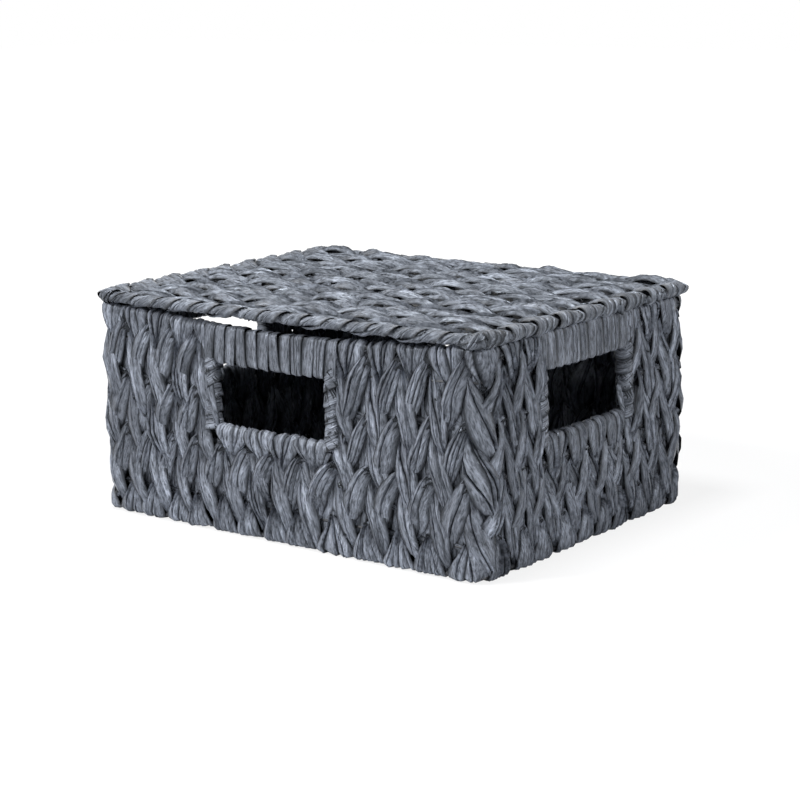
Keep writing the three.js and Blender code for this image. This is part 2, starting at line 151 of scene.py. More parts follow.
def map_range(given, wanted):
    """A Map Range node, for joined, that takes one span of values to another."""
    sockets = ("From Min", "From Max", "To Min", "To Max")
    return ("ShaderNodeMapRange", dict(zip(sockets, (*given, *wanted))))


world = bpy.data.worlds.new("white surround")
bpy.context.scene.world = world
world.use_nodes = True
world.node_tree.nodes.clear()
joined(
    world.node_tree,
    {
        "path": ("ShaderNodeLightPath", {}),
        "through": maths("MAXIMUM"),
        "seen": maths("MAXIMUM"),
        "white": ("ShaderNodeBackground", {"Color": (1, 1, 1, 1), "Strength": 1.0}),
        "fill": ("ShaderNodeBackground", {"Color": (0.95, 0.97, 1, 1), "Strength": 0.15}),
        "mix": ("ShaderNodeMixShader", {}),
        "out": ("ShaderNodeOutputWorld", {}),
    },
    [
        ("path", "Is Camera Ray", "through", 0),
        ("path", "Is Transmission Ray", "through", 1),
        ("through", 0, "seen", 0),
        ("path", "Is Glossy Ray", "seen", 1),
        ("seen", 0, "mix", 0),
        ("fill", 0, "mix", 1),
        ("white", 0, "mix", 2),
        ("mix", 0, "out", 0),
    ],
)

# The camera sees the floor as mostly an even white, mixed with paper that takes the shadow. All
# other light meets plain paper.
half_floor = 6.0
floor_corners = [(half_floor * x, half_floor * y, 0) for x, y in ((-1, -1), (1, -1), (1, 1), (-1, 1))]
floor_mesh = bpy.data.meshes.new("floor")
floor_mesh.from_pydata(floor_corners, [], [(0, 1, 2, 3)])
floor = bpy.data.objects.new("floor", floor_mesh)
bpy.context.scene.collection.objects.link(floor)
paper = bpy.data.materials.new("white paper")
paper.use_nodes = True
paper.node_tree.nodes.clear()
joined(
    paper.node_tree,
    {
        "path": ("ShaderNodeLightPath", {}),
        "share": maths("MULTIPLY", {1: 0.82}),
        "place": ("ShaderNodeTexCoord", {}),
        "away": vector_maths("LENGTH"),
        "level": map_range((0.3, 1.0), (1.02, 1.3)),
        "paper": ("ShaderNodeBsdfDiffuse", {"Color": (0.86, 0.87, 0.89, 1)}),
        "glow": ("ShaderNodeEmission", {"Color": (1, 1, 1, 1)}),
        "mix": ("ShaderNodeMixShader", {}),
        "out": ("ShaderNodeOutputMaterial", {}),
    },
    [
        ("path", "Is Camera Ray", "share", 0),
        ("place", "Object", "away", 0),
        ("away", "Value", "level", 0),
        ("level", 0, "glow", "Strength"),
        ("share", 0, "mix", 0),
        ("paper", 0, "mix", 1),
        ("glow", 0, "mix", 2),
        ("mix", 0, "out", 0),
    ],
)
floor_mesh.materials.append(paper)
floor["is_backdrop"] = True

# The frame inside the weave: steel wire, welded where it crosses, with a thin dark coat that is
# rubbed a little brighter in spots. Only short lengths of it show, deep in the weave's gaps.
coated_wire = bpy.data.materials.new("dark coated wire")
coated_wire.use_nodes = True
wire_shader = coated_wire.node_tree.nodes["Principled BSDF"]
joined_wire = joined(
    coated_wire.node_tree,
    {
        "place": ("ShaderNodeTexCoord", {}),
        "speckle": ("ShaderNodeTexNoise", {"Scale": 900.0, "Detail": 3.0}),
        "coat": ("ShaderNodeValToRGB", {}),
        "dull": map_range((0, 1), (0.35, 0.6)),
    },
    [("place", "Object", "speckle", "Vector"), ("speckle", "Fac", "coat", 0), ("speckle", "Fac", "dull", 0)],
)
joined_wire["coat"].color_ramp.elements[0].color = (0.012, 0.013, 0.016, 1)
joined_wire["coat"].color_ramp.elements[1].color = (0.05, 0.053, 0.06, 1)
coated_wire.node_tree.links.new(joined_wire["coat"].outputs[0], wire_shader.inputs["Base Color"])
coated_wire.node_tree.links.new(joined_wire["dull"].outputs[0], wire_shader.inputs["Roughness"])
for name, node in nodes.items():
    if "wire" in name or "post" in name or "middle_row" in name or "lid_rib" in name:
        for slot in node.material_slots:
            slot.material = coated_wire

# The ribbon: flat raffia in blue grey, pleated lengthways. Its fine fibres run along each strand,
# its creases and edges carry painted shade, its light blotches are painted highlights, and no two
# strands have quite the same tone.
fibres = bpy.data.node_groups.new("ribbon fibres, painted shade and highlights", "ShaderNodeTree")
for socket, kind, way in (
    ("Along", "NodeSocketVector", "INPUT"),
    ("Fold", "NodeSocketFloat", "INPUT"),
    ("Tone", "NodeSocketFloat", "INPUT"),
    ("Fibre Width", "NodeSocketFloat", "INPUT"),
    ("Shade", "NodeSocketFloat", "OUTPUT"),
    ("Shine", "NodeSocketFloat", "OUTPUT"),
    ("Height", "NodeSocketFloat", "OUTPUT"),
):
    fibres.interface.new_socket(socket, in_out=way, socket_type=kind)
joined(
    fibres,
    {
        "in": ("NodeGroupInput", {}),
        "out": ("NodeGroupOutput", {}),
        "own": ("ShaderNodeCombineXYZ", {}),
        "shift": maths("MULTIPLY", {1: 37.0}),
        "strand": vector_maths("ADD"),
        "fine_scale": vector_maths("MULTIPLY", {1: (1.0, 0.17, 1.0)}),
        "per_metre": maths("DIVIDE", {0: 1.0}),
        "fine": ("ShaderNodeTexNoise", {"Detail": 3.0, "Roughness": 0.65}),
        "pleat_scale": vector_maths("MULTIPLY", {1: (1.0, 0.05, 1.0)}),
        "pleat": ("ShaderNodeTexNoise", {"Scale": 420.0, "Detail": 1.0}),
        "patch": ("ShaderNodeTexNoise", {"Scale": 90.0, "Detail": 2.0}),
        "patch_scale": vector_maths("MULTIPLY", {1: (1.0, 0.6, 1.0)}),
        "fine_range": map_range((0.34, 0.66), (0.25, 1.9)),
        "pleat_range": map_range((0.3, 0.7), (0.68, 1.26)),
        # Blotches vary the tone at random, and their light ones are painted highlights.
        "patch_range": map_range((0.3, 0.7), (0.66, 1.42)),
        "tone_range": map_range((0, 1), (0.8, 1.2)),
        # Painted shade: the fold mask darkens the creases and the strand's edges almost to black.
        "fold_range": map_range((0.52, 0.95), (1.0, 0.02)),
        "pleated": maths("MULTIPLY"),
        "patched": maths("MULTIPLY"),
        "toned": maths("MULTIPLY"),
        "folded": maths("MULTIPLY"),
        "gloss": maths("ADD"),
        "shine": map_range((0.8, 1.25), (0.5, 0.16)),
        "fine_height": maths("MULTIPLY", {1: 0.45}),
        "height": maths("ADD"),
    },
    [
        ("in", "Tone", "shift", 0),
        ("shift", 0, "own", "Z"),
        ("in", "Along", "strand", 0),
        ("own", 0, "strand", 1),
        ("strand", 0, "fine_scale", 0),
        ("strand", 0, "pleat_scale", 0),
        ("strand", 0, "patch_scale", 0),
        ("in", "Fibre Width", "per_metre", 1),
        ("fine_scale", 0, "fine", "Vector"),
        ("per_metre", 0, "fine", "Scale"),
        ("pleat_scale", 0, "pleat", "Vector"),
        ("patch_scale", 0, "patch", "Vector"),
        ("fine", "Fac", "fine_range", 0),
        ("pleat", "Fac", "pleat_range", 0),
        ("patch", "Fac", "patch_range", 0),
        ("in", "Tone", "tone_range", 0),
        ("in", "Fold", "fold_range", 0),
        ("fine_range", 0, "pleated", 0),
        ("pleat_range", 0, "pleated", 1),
        ("pleated", 0, "patched", 0),
        ("patch_range", 0, "patched", 1),
        ("patched", 0, "toned", 0),
        ("tone_range", 0, "toned", 1),
        ("toned", 0, "folded", 0),
        ("fold_range", 0, "folded", 1),
        ("folded", 0, "out", "Shade"),
        ("patch", "Fac", "gloss", 0),
        ("fine", "Fac", "gloss", 1),
        ("gloss", 0, "shine", 0),
        ("shine", 0, "out", "Shine"),
        ("fine", "Fac", "fine_height", 0),
        ("fine_height", 0, "height", 0),
        ("pleat", "Fac", "height", 1),
        ("height", 0, "out", "Height"),
    ],
)


def ribbon_finish(name, colour, fibre_width, bump_depth):
    """Blue grey ribbon of one colour, with the group's fibres and tones, painted shade in its creases and
    edges, and painted highlights.
    """
    material = bpy.data.materials.new(name)
    material.use_nodes = True
    tree = material.node_tree
    shader = tree.nodes["Principled BSDF"]
    shader.inputs["Specular IOR Level"].default_value = 0.45
    shader.inputs["IOR"].default_value = 1.45
    shader.inputs["Specular Tint"].default_value = (0.8, 0.88, 1.0, 1.0)
    made = joined(
        tree,
        {
            "along": ("ShaderNodeAttribute", {"attribute_name": "ribbon"}),
            "fold": ("ShaderNodeAttribute", {"attribute_name": "fold"}),
            "tone": ("ShaderNodeAttribute", {"attribute_name": "tone"}),
            "tinted": vector_maths("MULTIPLY", {0: colour}),
            "bump": ("ShaderNodeBump", {"Distance": bump_depth, "Strength": 0.9}),
        },
        [],
    )
    group = tree.nodes.new("ShaderNodeGroup")
    group.node_tree = fibres
    group.inputs["Fibre Width"].default_value = fibre_width
    link = tree.links.new
    link(made["along"].outputs["Vector"], group.inputs["Along"])
    link(made["fold"].outputs["Fac"], group.inputs["Fold"])
    link(made["tone"].outputs["Fac"], group.inputs["Tone"])
    link(group.outputs["Shade"], made["tinted"].inputs[1])
    link(made["tinted"].outputs[0], shader.inputs["Base Color"])
    link(group.outputs["Shine"], shader.inputs["Roughness"])
    link(group.outputs["Height"], made["bump"].inputs["Height"])
    link(made["bump"].outputs["Normal"], shader.inputs["Normal"])
    return material


# The woven walls: pleated ribbon over the row wires, leaning right and left by turns. Behind the
# outer strands lie others that face the inside, and wide flat ones that close the gaps. Folded
# ends wrap over the rim, over the sills of the hand holes and round the foot.
basket_grey = (0.134, 0.146, 0.172)
basket_ribbon = ribbon_finish("blue grey basket ribbon", basket_grey, fibre_width=0.0008, bump_depth=0.0012)
middle_inset = 0.005
outer_corner_radius = 0.0119
corner_radius = outer_corner_radius - middle_inset
corner_arc = math.pi / 2 * corner_radius
corner_steps = 8
straight_x = -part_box("left_wall_weave")[0].x - outer_corner_radius
straight_y = -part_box("front_wall_weave")[0].y - outer_corner_radius
wall_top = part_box("front_wall_weave")[1].z


def plan_point(distance, half_x, half_y, radius):
    """A point of a rounded rectangle, at a distance from the front run's left end."""
    arc = math.pi / 2 * radius
    runs = (
        (2 * half_x, (-half_x, -half_y), 0.0),
        (2 * half_y, (half_x, -half_y), 0.5),
        (2 * half_x, (half_x, half_y), 1.0),
        (2 * half_y, (-half_x, half_y), 1.5),
    )
    distance %= sum(run[0] + arc for run in runs)
    for length, start, half_turns in runs:
        turn = math.pi * half_turns
        ahead = Vector((math.cos(turn), math.sin(turn)))
        out = Vector((math.sin(turn), -math.cos(turn)))
        if distance <= length:
            return Vector(start) + out * radius + ahead * distance
        if distance <= length + arc:
            bend = (distance - length) / radius
            end = Vector(start) + ahead * length
            return end + out * radius * math.cos(bend) + ahead * radius * math.sin(bend)
        distance -= length + arc
    return Vector((-half_x, -half_y - radius))


def plan_curve(name, half_x, half_y, radius):
    """The closed line that strands are laid along, in short straight pieces, and its length."""
    arc = math.pi / 2 * radius
    marks = []
    length = 0.0
    for run in (2 * half_x, 2 * half_y, 2 * half_x, 2 * half_y):
        marks.append(length)
        length += run
        marks += [length + arc * step / corner_steps for step in range(corner_steps)]
        length += arc
    curve = bpy.data.curves.new(name, "CURVE")
    curve.dimensions = "3D"
    line = curve.splines.new("POLY")
    line.points.add(len(marks) - 1)
    for point, mark in zip(line.points, marks):
        point.co = (*plan_point(mark, half_x, half_y, radius), 0, 1)
    line.use_cyclic_u = True
    made = bpy.data.objects.new(name, curve)
    bpy.context.scene.collection.objects.link(made)
    return made, length


def strand(
    name, seed, plies, steps, path, half_width, sway, crown, arch,
    closed=False, tilt=0.0, twist=0.0, spread=0.0,
):
    """A pleated strand of ribbon as a closed solid, with a ring of points at each step.

    path gives y and z, and sway gives x, at 0 to 1 of the way along. crown is the height of a pleat.
    arch, tilt and twist shape the strand across, and spread gathers its rings towards both ends.
    """
    # Folds cut the width, from -1 to 1, into plies. Each fold strays sideways and has its own depth.
    # Each ply's ridge leans to one side of the ply, the outermost ones towards the strand's middle,
    # so that the painted shade at the strand's edges reaches further in, and has its own height and waves.
    dice = random.Random(seed)
    later = range(1, plies)
    cuts = [-1.0] + [-1 + 2 * (ply + dice.uniform(-0.3, 0.3)) / plies for ply in later] + [1.0]
    drift = [0.0] + [dice.uniform(-0.22, 0.22) for ply in later] + [0.0]
    lean = [0.85] + [dice.choice((0.12, 0.2, 0.8, 0.88)) for ply in later]
    if plies > 1:
        lean[-1] = 0.15
    rise = [dice.uniform(0.6, 1.3) for ply in range(plies)]
    sink = [0.25] + [dice.uniform(0.4, 0.95) for ply in later] + [0.25]
    phase = [dice.random() for ply in range(plies)]
    points, along, fold, faces = [], [], [], []
    sharp = set()
    count = 2 * plies + 1
    rings = steps if closed else steps + 1
    small = 1e-3
    run = 0.0
    last = Vector((sway(0), *path(0)))
    widest = max(half_width(ring / steps) for ring in range(steps + 1))
    for ring in range(rings):
        t = ring / steps
        t += spread * ((1 - math.cos(math.pi * t)) / 2 - t)
        here, ahead, behind = (Vector((sway(at), *path(at))) for at in (t, t + small, t - small))
        tangent = (ahead - behind).normalized()
        normal = Vector((0, -tangent.z, tangent.y)).normalized()
        side = tangent.cross(normal).normalized()
        normal = side.cross(tangent)
        run += (here - last).length
        last = here
        half = half_width(t)
        # Where a strand narrows its pleats bunch up. The folds' waves and the dents in its width are
        # out of step from one strand to the next.
        pleat = crown * min((widest / half) ** 0.6, 2.2)
        wave = math.sin(2 * math.pi * (t + 0.13 * seed))
        dent = 1 + 0.07 * math.sin(2 * math.pi * (2 * t + 0.37 * seed))
        for step in range(count):
            ply = min(step // 2, plies - 1)
            left = cuts[ply] + drift[ply] * wave
            right = cuts[ply + 1] + drift[ply + 1] * wave
            if step % 2:
                u = left + (right - left) * lean[ply]
                height = pleat * rise[ply] * (1 + 0.35 * math.sin(2 * math.pi * (2 * t + phase[ply])))
            else:
                u = left if step // 2 < plies else right
                height = -pleat * sink[step // 2]
            height += arch * (1 - u * u) + (tilt + twist * (t - 0.5)) * u
            points.append(here + side * (u * half * dent) + normal * height)
            along.append((u * half, run, 0.01 * seed))
            # The fold mask is 1 at the creases and the edges, where the ribbon paints shade, and 0 on the
            # ridges.
            fold.append(0.0 if step % 2 else 1.0)
    for ring in range(steps):
        first = ring * count
        second = (ring + 1) % rings * count
        for step in range(count - 1):
            faces.append((first + step, first + step + 1, second + step + 1, second + step))
        faces.append((first + count - 1, first, second, second + count - 1))
        sharp.update(frozenset((first + step, second + step)) for step in range(count))
    if not closed:
        faces.append(tuple(reversed(range(count))))
        faces.append(tuple(steps * count + step for step in range(count)))
    mesh = bpy.data.meshes.new(name)
    mesh.from_pydata(points, [], faces)
    for face in mesh.polygons:
        face.use_smooth = True
    for edge in mesh.edges:
        edge.use_edge_sharp = frozenset(edge.vertices) in sharp
    mesh.attributes.new("ribbon", "FLOAT_VECTOR", "POINT").data.foreach_set(
        "vector", [value for point in along for value in point]
    )
    mesh.attributes.new("fold", "FLOAT", "POINT").data.foreach_set("value", fold)
    return mesh


def strand_box(name, meshes):
    """A collection that holds the kinds of strand that one pattern picks from, in order."""
    box = bpy.data.collections.new(name)
    for number, mesh in enumerate(meshes):
        box.objects.link(bpy.data.objects.new(f"{name} {number:02d}", mesh))
    return box


def laying_tree(name, bent):
    """Geometry nodes that set a strand on each point.

    Where bent, they also bend the strands round a plan, swell the walls and let the front's rim sag.
    """
    tree = bpy.data.node_groups.new(name, "GeometryNodeTree")
    lengths = ("Plan Length", "Sag", "Sag Half Width", "Sag From", "Sag To", "Belly", "Belly Height")
    inputs = {"Geometry": "Geometry", "Strands": "Collection", "Ribbon": "Material", "Plan": "Object"}
    inputs.update(dict.fromkeys(lengths, "Float"))
    sockets = {}
    for label, kind in inputs.items():
        made = tree.interface.new_socket(label, in_out="INPUT", socket_type=f"NodeSocket{kind}")
        sockets[label] = made.identifier
    tree.interface.new_socket("Geometry", in_out="OUTPUT", socket_type="NodeSocketGeometry")
    parts = {
        "in": ("NodeGroupInput", {}),
        "out": ("NodeGroupOutput", {}),
        "kinds": ("GeometryNodeCollectionInfo", {"Separate Children": True, "Reset Children": True}),
        "turn": ("GeometryNodeInputNamedAttribute", {"data_type": "FLOAT_VECTOR", "Name": "turn"}),
        "size": ("GeometryNodeInputNamedAttribute", {"data_type": "FLOAT_VECTOR", "Name": "size"}),
        "kind": ("GeometryNodeInputNamedAttribute", {"data_type": "INT", "Name": "kind"}),
        "shade": ("GeometryNodeInputNamedAttribute", {"data_type": "FLOAT", "Name": "shade"}),
        "angle": ("FunctionNodeEulerToRotation", {}),
        "set": ("GeometryNodeInstanceOnPoints", {"Pick Instance": True}),
        "tone": (
            "GeometryNodeStoreNamedAttribute",
            {"data_type": "FLOAT", "domain": "INSTANCE", "Name": "tone"},
        ),
        "real": ("GeometryNodeRealizeInstances", {}),
        "finish": ("GeometryNodeSetMaterial", {}),
    }
    links = [
        ("in", "Strands", "kinds", "Collection"),
        ("turn", "Attribute", "angle", 0),
        ("in", "Geometry", "set", "Points"),
        ("kinds", 0, "set", "Instance"),
        ("kind", "Attribute", "set", "Instance Index"),
        ("angle", 0, "set", "Rotation"),
        ("size", "Attribute", "set", "Scale"),
        ("set", 0, "tone", "Geometry"),
        ("shade", "Attribute", "tone", "Value"),
        ("tone", 0, "real", "Geometry"),
        ("in", "Ribbon", "finish", "Material"),
        ("finish", 0, "out", 0),
    ]
    if bent:
        # A point's x becomes its distance along the plan, and its y its depth behind it. The belly
        # pushes the middle of a wall's height outwards. The sag then lowers the top of the front
        # wall, most at its middle.
        parts.update({
            "plan": ("GeometryNodeObjectInfo", {}),
            "place": ("GeometryNodeInputPosition", {}),
            "flat": ("ShaderNodeSeparateXYZ", {}),
            "round": maths("FLOORED_MODULO"),
            "line": ("GeometryNodeSampleCurve", {"mode": "LENGTH"}),
            "out_way": vector_maths("CROSS_PRODUCT", {1: (0, 0, 1)}),
            "depth": maths("MULTIPLY", {1: -1.0}),
            "climb": maths("DIVIDE"),
            "half_turn": maths("MULTIPLY", {1: math.pi}),
            "swell": maths("SINE"),
            "outward": maths("MAXIMUM", {1: 0.0}),
            "belly": maths("MULTIPLY"),
            "proud": maths("ADD"),
            "push": vector_maths("SCALE"),
            "bent": vector_maths("ADD"),
            "height": ("ShaderNodeCombineXYZ", {}),
            "stood": vector_maths("ADD"),
            "bend": ("GeometryNodeSetPosition", {}),
            "bent_place": ("GeometryNodeInputPosition", {}),
            "where": ("ShaderNodeSeparateXYZ", {}),
            "share": maths("DIVIDE"),
            "quarter": maths("MULTIPLY", {1: math.pi / 2}),
            "curve": maths("COSINE"),
            "inside": maths("MAXIMUM", {1: 0.0}),
            "front": map_range((0.09, 0.105), (0, 1)),
            "back": maths("MULTIPLY", {1: -1.0}),
            "high": ("ShaderNodeMapRange", {"interpolation_type": "SMOOTHSTEP"}),
            "both": maths("MULTIPLY"),
            "all": maths("MULTIPLY"),
            "drop": maths("MULTIPLY"),
            "less": maths("MULTIPLY", {1: -1.0}),
            "down": ("ShaderNodeCombineXYZ", {}),
            "sag": ("GeometryNodeSetPosition", {}),
        })
        links += [
            ("in", "Plan", "plan", "Object"),
            ("place", 0, "flat", 0),
            ("flat", "X", "round", 0),
            ("in", "Plan Length", "round", 1),
            ("plan", "Geometry", "line", "Curves"),
            ("round", 0, "line", "Length"),
            ("line", "Tangent", "out_way", 0),
            ("flat", "Y", "depth", 0),
            ("out_way", 0, "push", 0),
            ("flat", "Z", "climb", 0),
            ("in", "Belly Height", "climb", 1),
            ("climb", 0, "half_turn", 0),
            ("half_turn", 0, "swell", 0),
            ("swell", 0, "outward", 0),
            ("outward", 0, "belly", 0),
            ("in", "Belly", "belly", 1),
            ("depth", 0, "proud", 0),
            ("belly", 0, "proud", 1),
            ("proud", 0, "push", "Scale"),
            ("line", "Position", "bent", 0),
            ("push", 0, "bent", 1),
            ("flat", "Z", "height", "Z"),
            ("bent", 0, "stood", 0),
            ("height", 0, "stood", 1),
            ("real", 0, "bend", "Geometry"),
            ("stood", 0, "bend", "Position"),
            ("bent_place", 0, "where", 0),
            ("where", "X", "share", 0),
            ("in", "Sag Half Width", "share", 1),
            ("share", 0, "quarter", 0),
            ("quarter", 0, "curve", 0),
            ("curve", 0, "inside", 0),
            ("where", "Y", "back", 0),
            ("back", 0, "front", 0),
            ("where", "Z", "high", 0),
            ("in", "Sag From", "high", 1),
            ("in", "Sag To", "high", 2),
            ("inside", 0, "both", 0),
            ("front", 0, "both", 1),
            ("both", 0, "all", 0),
            ("high", 0, "all", 1),
            ("all", 0, "drop", 0),
            ("in", "Sag", "drop", 1),
            ("drop", 0, "less", 0),
            ("less", 0, "down", "Z"),
            ("bend", 0, "sag", "Geometry"),
            ("down", 0, "sag", "Offset"),
            ("sag", 0, "finish", "Geometry"),
        ]
    else:
        links.append(("real", 0, "finish", "Geometry"))
    joined(tree, parts, links)
    return tree, sockets


bent_tree, bent_sockets = laying_tree("lay strands round a plan", True)
flat_tree, flat_sockets = laying_tree("lay strands flat", False)

rim_sag = 0.007
sag_starts = 0.056
sag_full_above = 0.079
wall_belly = 0.002


def lay(name, places, kinds, material, plan=None, sag=0.0, belly=0.0):
    """Lays a strand at each place (point, turn, size, kind, shade), as one plain piece."""
    cloud = bpy.data.meshes.new(name)
    cloud.from_pydata([place[0] for place in places], [], [])
    for label, kind, field, values in (
        ("turn", "FLOAT_VECTOR", "vector", [v for place in places for v in place[1]]),
        ("size", "FLOAT_VECTOR", "vector", [v for place in places for v in place[2]]),
        ("kind", "INT", "value", [place[3] for place in places]),
        ("shade", "FLOAT", "value", [place[4] for place in places]),
    ):
        cloud.attributes.new(label, kind, "POINT").data.foreach_set(field, values)
    pattern = bpy.data.objects.new(name, cloud)
    bpy.context.scene.collection.objects.link(pattern)
    laying = pattern.modifiers.new("strands", "NODES")
    laying.node_group = bent_tree if plan else flat_tree
    sockets = bent_sockets if plan else flat_sockets
    inputs = {"Strands": kinds, "Ribbon": material}
    if plan:
        inputs.update({
            "Plan": plan[0],
            "Plan Length": plan[1],
            "Sag": sag,
            "Sag Half Width": straight_x,
            "Sag From": sag_starts,
            "Sag To": sag_full_above,
            "Belly": belly,
            "Belly Height": wall_top,
        })
    for label, value in inputs.items():
        laying[sockets[label]] = value
    bpy.context.view_layer.update()
    seen = pattern.evaluated_get(bpy.context.evaluated_depsgraph_get())
    mesh = bpy.data.meshes.new_from_object(seen)
    mesh.name = name
    bpy.data.objects.remove(pattern)
    piece = bpy.data.objects.new(name, mesh)
    bpy.context.scene.collection.objects.link(piece)
    return piece


dice = random.Random(11)
leaf_height = 0.050
leaf_lean = 0.012
leaf_kinds = 9
fold_kinds = 4


def wobble(amount):
    """A small hand made difference."""
    return dice.uniform(-amount, amount)


def within(value, low=0.0, high=1.0):
    """A value kept between two limits."""
    return min(max(value, low), high)


def leaf(number, rising):
    """A strand over a row wire. A rising one stands out most near its top, a falling one near its foot."""
    bulge = dice.uniform(0.0042, 0.0056) if rising else dice.uniform(0.0034, 0.0048)
    tuck = dice.uniform(0.0032, 0.0038)
    broad = dice.uniform(0.0060, 0.0076)
    bow = dice.uniform(-0.0026, 0.0006)
    kink = wobble(0.0006)
    ripple = 0.0004
    shift = dice.random()
    lean, skew, blunt = (leaf_lean, 1.35, 0.62) if rising else (-leaf_lean, 0.66, 0.7)
    tilt, twist = (-0.0009, -0.0026) if rising else (0.0, 0.0)

    def path(t):
        out = (bulge + tuck) * math.sin(math.pi * within(t) ** skew) ** blunt - tuck
        out += ripple * math.sin(2 * math.pi * (2 * t + shift))
        return -out, leaf_height * (t - 0.5)

    def sway(t):
        bowed = lean * (t - 0.5) + bow * math.sin(math.pi * t)
        return bowed + kink * math.sin(2 * math.pi * (1.5 * t + shift))

    def half_width(t):
        along = within(t)
        if rising:
            return broad * min(0.08 + 1.9 * along ** 0.9, 1.0, 0.3 + 1.3 * (1 - along) ** 0.6)
        return broad * (0.1 + 0.9 * math.sin(math.pi * along ** 0.85) ** 0.75)

    return strand(
        f"{'rising' if rising else 'falling'} strand", 3 * number + rising, plies=2 + number % 3, steps=11,
        path=path, half_width=half_width, sway=sway, crown=0.0010, arch=0.0013,
        tilt=tilt, twist=twist, spread=0.6,
    )


def over_wire(t, arc, radius, lift, length, splay, pinch, power):
    """A strand's line over a wire: a half turn for the share arc of it, and a leg down each side."""
    t = within(t, -0.02, 1.02)
    if abs(t - 0.5) < arc / 2:
        bend = math.pi * (t - 0.5) / arc
        return radius * math.sin(bend), radius * (math.cos(bend) - 1) + lift
    down = (abs(t - 0.5) - arc / 2) / (0.5 - arc / 2)
    out = radius + splay * down - pinch * down ** power
    return (-out if t < 0.5 else out), lift - radius - (length - radius) * down


def leg_width(t, arc, tip, more, power):
    """Half the width of a strand over a wire: the tip's and more on the crest, less down the legs."""
    down = within((abs(t - 0.5) - arc / 2) / (0.5 - arc / 2))
    return tip + more * (1 - down) ** power


def folded_end(number):
    """A strand folded over a wire, as wide as its neighbours allow, drawn to a point on both sides."""
    arc = 0.26
    pull = wobble(0.003)

    def path(t):
        return over_wire(
            t, arc, radius=0.0037, lift=0.0036, length=0.0265, splay=0.0008, pinch=0.0062, power=2.6
        )

    def half_width(t):
        return leg_width(t, arc, tip=0.0013, more=0.0106, power=0.9)

    def sway(t):
        return pull * (2 * t - 1) ** 2

    return strand(
        "folded end", 40 + number, plies=4 + number % 3, steps=18, path=path, half_width=half_width,
        sway=sway, crown=0.0010, arch=0.0006,
    )


wall_kinds = strand_box(
    "wall strands",
    [leaf(number, True) for number in range(leaf_kinds)]
    + [leaf(number, False) for number in range(leaf_kinds)]
    + [folded_end(number) for number in range(fold_kinds)],
)
first_fold = 2 * leaf_kinds
shortest_leaf = 0.01


def passing(low, high, rising, inner=False, flatten=1.0, wide=1.0):
    """A strand from one crossing to another, both given as (along the wall, height)."""
    kind = dice.randrange(leaf_kinds) + (0 if rising != inner else leaf_kinds)
    size_x = wide * (1.04 + wobble(0.2))
    size_y = flatten * (1 + wobble(0.15))
    run, climb = high[0] - low[0], high[1] - low[1]
    lean = leaf_lean * size_x
    upright = math.sqrt(max(run ** 2 + climb ** 2 - lean ** 2, shortest_leaf ** 2))
    own = math.atan2(lean if rising else -lean, upright)
    turn = Matrix.Rotation(math.atan2(run, climb) - own, 4, "Y")
    if inner:
        turn = turn @ Matrix.Rotation(math.pi, 4, "Z")
    place = ((low[0] + high[0]) / 2, 0.0, (low[1] + high[1]) / 2)
    return place, tuple(turn.to_euler()), (size_x, size_y, upright / leaf_height), kind, dice.random()


# Distances along the walls start at the left end of the front wall's straight run and go round by
# the right wall. Each wall has its name, its start, its direction along its axis, and its axis.
wall_plan = plan_curve("middle of the walls", straight_x, straight_y, corner_radius)
plan_length = wall_plan[1]
long_side = 2 * straight_x + corner_arc
short_side = 2 * straight_y + corner_arc
right_wall_end = long_side + 2 * straight_y
walls = (
    ("front", 0.0, 1, 0),
    ("right", long_side, 1, 1),
    ("back", long_side + short_side, -1, 0),
    ("left", 2 * long_side + short_side, -1, 1),
)
holes = {}
for wall, start, way, axis in walls:
    half = straight_y if axis else straight_x
    holes[wall] = sorted(start + half + way * edge[axis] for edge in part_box(f"handle_wrap_{wall}"))
corner_places = [start - corner_arc / 2 for wall, start, way, axis in walls]
corner_places.append(plan_length - corner_arc / 2)
wall_spans = dict(zip(holes, zip(corner_places, corner_places[1:])))
places_of = {wall: [] for wall in holes}


def in_hole(distance, before, after):
    """Whether a place along the walls lies at a hand hole, widened by so much at its two ends."""
    return any(left - before < distance < right + after for left, right in holes.values())


def keep(place):
    """Gives a strand to the wall that it is on."""
    distance = place[0][0] % plan_length
    for wall, (low, high) in wall_spans.items():
        if low <= distance < high or low <= distance - plan_length < high:
            places_of[wall].append(place)


corner_swell = 0.25
swell_reach = 0.016


def fullness(distance):
    """How much further the strands stand out here: most on the corners, where they go round the bend."""
    nearest = min(abs(distance % plan_length - place) for place in corner_places)
    return 1 + corner_swell * max(0.0, 1 - nearest / swell_reach)


# The strands meet in pairs at tops, and in pairs at the valleys between them. A rising one runs up
# from the valley on the left of its top, and a falling one from the valley on the right. Each row
# has its band, the heights of its strands' two ends, and whether they rise.
columns = 46
pitch = plan_length / columns
rows = (
    ("top", 0.0885, 0.1444, True),
    ("top", 0.0775, 0.1385, False),
    ("middle", 0.0505, 0.1045, True),
    ("middle", 0.0395, 0.1005, False),
    ("bottom", 0.0140, 0.0670, True),
    ("bottom", 0.0045, 0.0615, False),
)
# The front wall's tops are listed, in mm. The others follow at a nearly even pitch.
front_tops = (13.6, 35.1, 57.6, 78.6, 101.6, 124.6, 145.6, 169.6, 197.6, 227.6, 251.6, 275.6, 303.6)
tops = [top / 1000 for top in front_tops]
tops += [tops[0] + pitch * column + wobble(0.0022) for column in range(len(front_tops), columns)]
following_tops = tops[1:] + [tops[0] + plan_length]
valleys = [(top + following) / 2 for top, following in zip(tops, following_tops)]
valleys_before = [valleys[-1] - plan_length] + valleys[:-1]
# On the left of the front wall the falling strands stand out more than the rising ones. On its
# right they reach less far past their valleys.
left_columns = range(8)
close_columns = range(6, 13)
rising_shift = 0.001
falling_shift = 0.002
valley_overlap = 0.0035
wide_overlap = 0.0055
close_overlap = 0.0025
